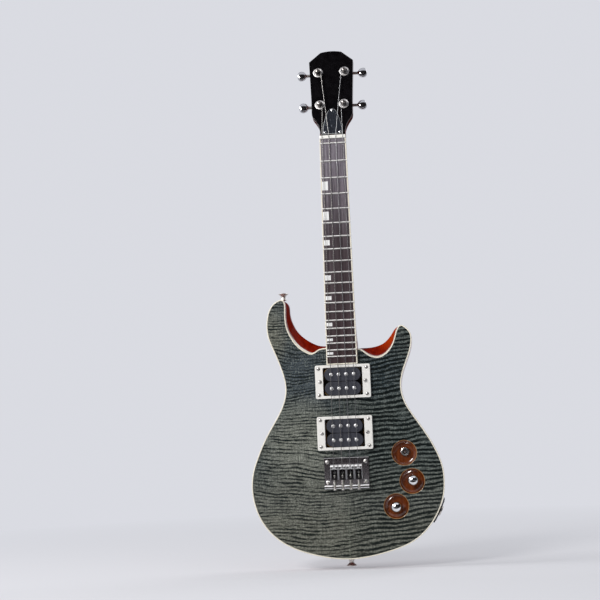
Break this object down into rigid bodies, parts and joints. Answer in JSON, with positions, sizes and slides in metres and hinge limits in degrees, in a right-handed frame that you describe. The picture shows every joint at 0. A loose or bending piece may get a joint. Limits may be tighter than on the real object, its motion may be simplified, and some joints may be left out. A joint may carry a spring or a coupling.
{
  "type": "electric tenor ukulele",
  "caption": "Solid-body electric tenor ukulele with a stained maple top, cream binding, two open-coil humbuckers, a through-body bridge and geared tuners.",
  "frame": {"origin": "on the flat back of the body, on the centreline, level with the saddle crests", "axes": "+Z along the neck towards the headstock, -Y out of the front (the side with the strings), +X to the right as seen from the front"},
  "size_m": [0.2561, 0.0551, 0.7013],
  "materials": {
    "mahogany": "clear gloss lacquer over red-brown mahogany",
    "stained_maple": "flame maple stained grey-green to black under clear gloss lacquer",
    "rosewood": "oiled, satin, with nickel frets and pearl position blocks let in",
    "black_lacquer": "black gloss lacquer on a thin face veneer",
    "cream_plastic": "cream binding under clear gloss",
    "ivory_plastic": "moulded ivory plastic, low gloss",
    "black_plastic": "moulded black plastic, low gloss",
    "chrome": "polished chrome plate",
    "steel": "plain drawn steel",
    "brass": "bare nickel-brass sheet",
    "rubber": "black cable sheath"
  },
  "bodies": {
    "instrument": {"body_core": "mahogany", "maple_top": "stained_maple", "body_binding": "cream_plastic", "neck": "mahogany", "headstock_face": "black_lacquer", "fingerboard": "rosewood", "fingerboard_binding": "cream_plastic", "nut": "ivory_plastic", "truss_rod": "steel", "truss_rod_cover": "black_plastic", "pickup_ring_neck": "ivory_plastic", "pickup_ring_bridge": "ivory_plastic", "pickup_bobbin_neck_1": "black_plastic", "pickup_bobbin_neck_2": "black_plastic", "pickup_bobbin_bridge_1": "black_plastic", "pickup_bobbin_bridge_2": "black_plastic", "pickup_baseplate_neck": "brass", "pickup_baseplate_bridge": "brass", "pickup_lead": "rubber", "bridge_plate": "chrome", "string_1": "steel", "string_2": "steel", "string_3": "steel", "string_4": "steel", "tuner_housing_1": "chrome", "tuner_housing_2": "chrome", "tuner_housing_3": "chrome", "tuner_housing_4": "chrome", "tuner_bushing_1": "chrome", "tuner_bushing_2": "chrome", "tuner_bushing_3": "chrome", "tuner_bushing_4": "chrome", "volume_potentiometer": "steel", "tone_potentiometer": "steel", "toggle_switch": "steel", "toggle_nut": "chrome", "control_cover": "black_plastic", "jack_plate": "chrome", "output_jack": "chrome", "strap_button_bottom": "chrome", "strap_button_horn": "chrome"},
    "button_1": {"tuner_button_1": "chrome"},
    "button_2": {"tuner_button_2": "chrome"},
    "button_3": {"tuner_button_3": "chrome"},
    "button_4": {"tuner_button_4": "chrome"},
    "post_1": {"tuner_post_1": "chrome"},
    "post_2": {"tuner_post_2": "chrome"},
    "post_3": {"tuner_post_3": "chrome"},
    "post_4": {"tuner_post_4": "chrome"},
    "volume": {"volume_knob": "chrome"},
    "tone": {"tone_knob": "chrome"},
    "lever": {"toggle_lever": "chrome"},
    "saddle_block_1": {"saddle_1": "chrome"},
    "saddle_block_2": {"saddle_2": "chrome"},
    "saddle_block_3": {"saddle_3": "chrome"},
    "saddle_block_4": {"saddle_4": "chrome"},
    "saddle_drive_1": {"intonation_screw_1": "chrome"},
    "saddle_drive_2": {"intonation_screw_2": "chrome"},
    "saddle_drive_3": {"intonation_screw_3": "chrome"},
    "saddle_drive_4": {"intonation_screw_4": "chrome"}
  },
  "joints": [
    {"name": "button_turn_1", "type": "hinge", "parent": "instrument", "child": "button_1", "pos_m": [-0.0181, -0.00183, 0.53658], "axis": [1, 0, 0], "continuous": true},
    {"name": "button_turn_2", "type": "hinge", "parent": "instrument", "child": "button_2", "pos_m": [-0.0164, -0.01188, 0.48933], "axis": [1, 0, 0], "continuous": true},
    {"name": "button_turn_3", "type": "hinge", "parent": "instrument", "child": "button_3", "pos_m": [0.0164, -0.01188, 0.48933], "axis": [1, 0, 0], "continuous": true},
    {"name": "button_turn_4", "type": "hinge", "parent": "instrument", "child": "button_4", "pos_m": [0.0181, -0.00183, 0.53658], "axis": [1, 0, 0], "continuous": true},
    {"name": "post_turn_1", "type": "hinge", "parent": "instrument", "child": "post_1", "pos_m": [-0.0181, -0.01846, 0.53485], "axis": [0, 0.9781, -0.2079], "continuous": true},
    {"name": "post_turn_2", "type": "hinge", "parent": "instrument", "child": "post_2", "pos_m": [-0.0164, -0.0285, 0.4876], "axis": [0, 0.9781, -0.2079], "continuous": true},
    {"name": "post_turn_3", "type": "hinge", "parent": "instrument", "child": "post_3", "pos_m": [0.0164, -0.0285, 0.4876], "axis": [0, 0.9781, -0.2079], "continuous": true},
    {"name": "post_turn_4", "type": "hinge", "parent": "instrument", "child": "post_4", "pos_m": [0.0181, -0.01846, 0.53485], "axis": [0, 0.9781, -0.2079], "continuous": true},
    {"name": "volume_turn", "type": "hinge", "parent": "instrument", "child": "volume", "pos_m": [0.087, -0.0292, -0.023], "axis": [0, -1, 0], "range_deg": [0, 280]},
    {"name": "tone_turn", "type": "hinge", "parent": "instrument", "child": "tone", "pos_m": [0.0634, -0.0292, -0.0572], "axis": [0, -1, 0], "range_deg": [0, 280]},
    {"name": "toggle_tilt", "type": "hinge", "parent": "instrument", "child": "lever", "pos_m": [0.0778, -0.028, 0.0148], "axis": [1, 0, 0], "range_deg": [-12, 12]},
    {"name": "saddle_slide_1", "type": "slide", "parent": "instrument", "child": "saddle_block_1", "axis": [0, 0, 1], "range_m": [0, 0.003]},
    {"name": "saddle_slide_2", "type": "slide", "parent": "instrument", "child": "saddle_block_2", "axis": [0, 0, 1], "range_m": [0, 0.003]},
    {"name": "saddle_slide_3", "type": "slide", "parent": "instrument", "child": "saddle_block_3", "axis": [0, 0, 1], "range_m": [0, 0.003]},
    {"name": "saddle_slide_4", "type": "slide", "parent": "instrument", "child": "saddle_block_4", "axis": [0, 0, 1], "range_m": [0, 0.003]},
    {"name": "intonation_turn_1", "type": "hinge", "parent": "instrument", "child": "saddle_drive_1", "pos_m": [-0.01597, -0.0441, -0.0312], "axis": [0, 0, -1], "range_deg": [0, 2160]},
    {"name": "intonation_turn_2", "type": "hinge", "parent": "instrument", "child": "saddle_drive_2", "pos_m": [-0.00532, -0.0441, -0.0312], "axis": [0, 0, -1], "range_deg": [0, 2160]},
    {"name": "intonation_turn_3", "type": "hinge", "parent": "instrument", "child": "saddle_drive_3", "pos_m": [0.00532, -0.0441, -0.0312], "axis": [0, 0, -1], "range_deg": [0, 2160]},
    {"name": "intonation_turn_4", "type": "hinge", "parent": "instrument", "child": "saddle_drive_4", "pos_m": [0.01597, -0.0441, -0.0312], "axis": [0, 0, -1], "range_deg": [0, 2160]}
  ],
  "couplings": [
    {"joint": "post_turn_1", "follows": "button_turn_1", "ratio": -0.066667},
    {"joint": "post_turn_2", "follows": "button_turn_2", "ratio": -0.066667},
    {"joint": "post_turn_3", "follows": "button_turn_3", "ratio": -0.066667},
    {"joint": "post_turn_4", "follows": "button_turn_4", "ratio": -0.066667},
    {"joint": "intonation_turn_1", "follows": "saddle_slide_1", "rad_per_m": 12566},
    {"joint": "intonation_turn_2", "follows": "saddle_slide_2", "rad_per_m": 12566},
    {"joint": "intonation_turn_3", "follows": "saddle_slide_3", "rad_per_m": 12566},
    {"joint": "intonation_turn_4", "follows": "saddle_slide_4", "rad_per_m": 12566}
  ]
}
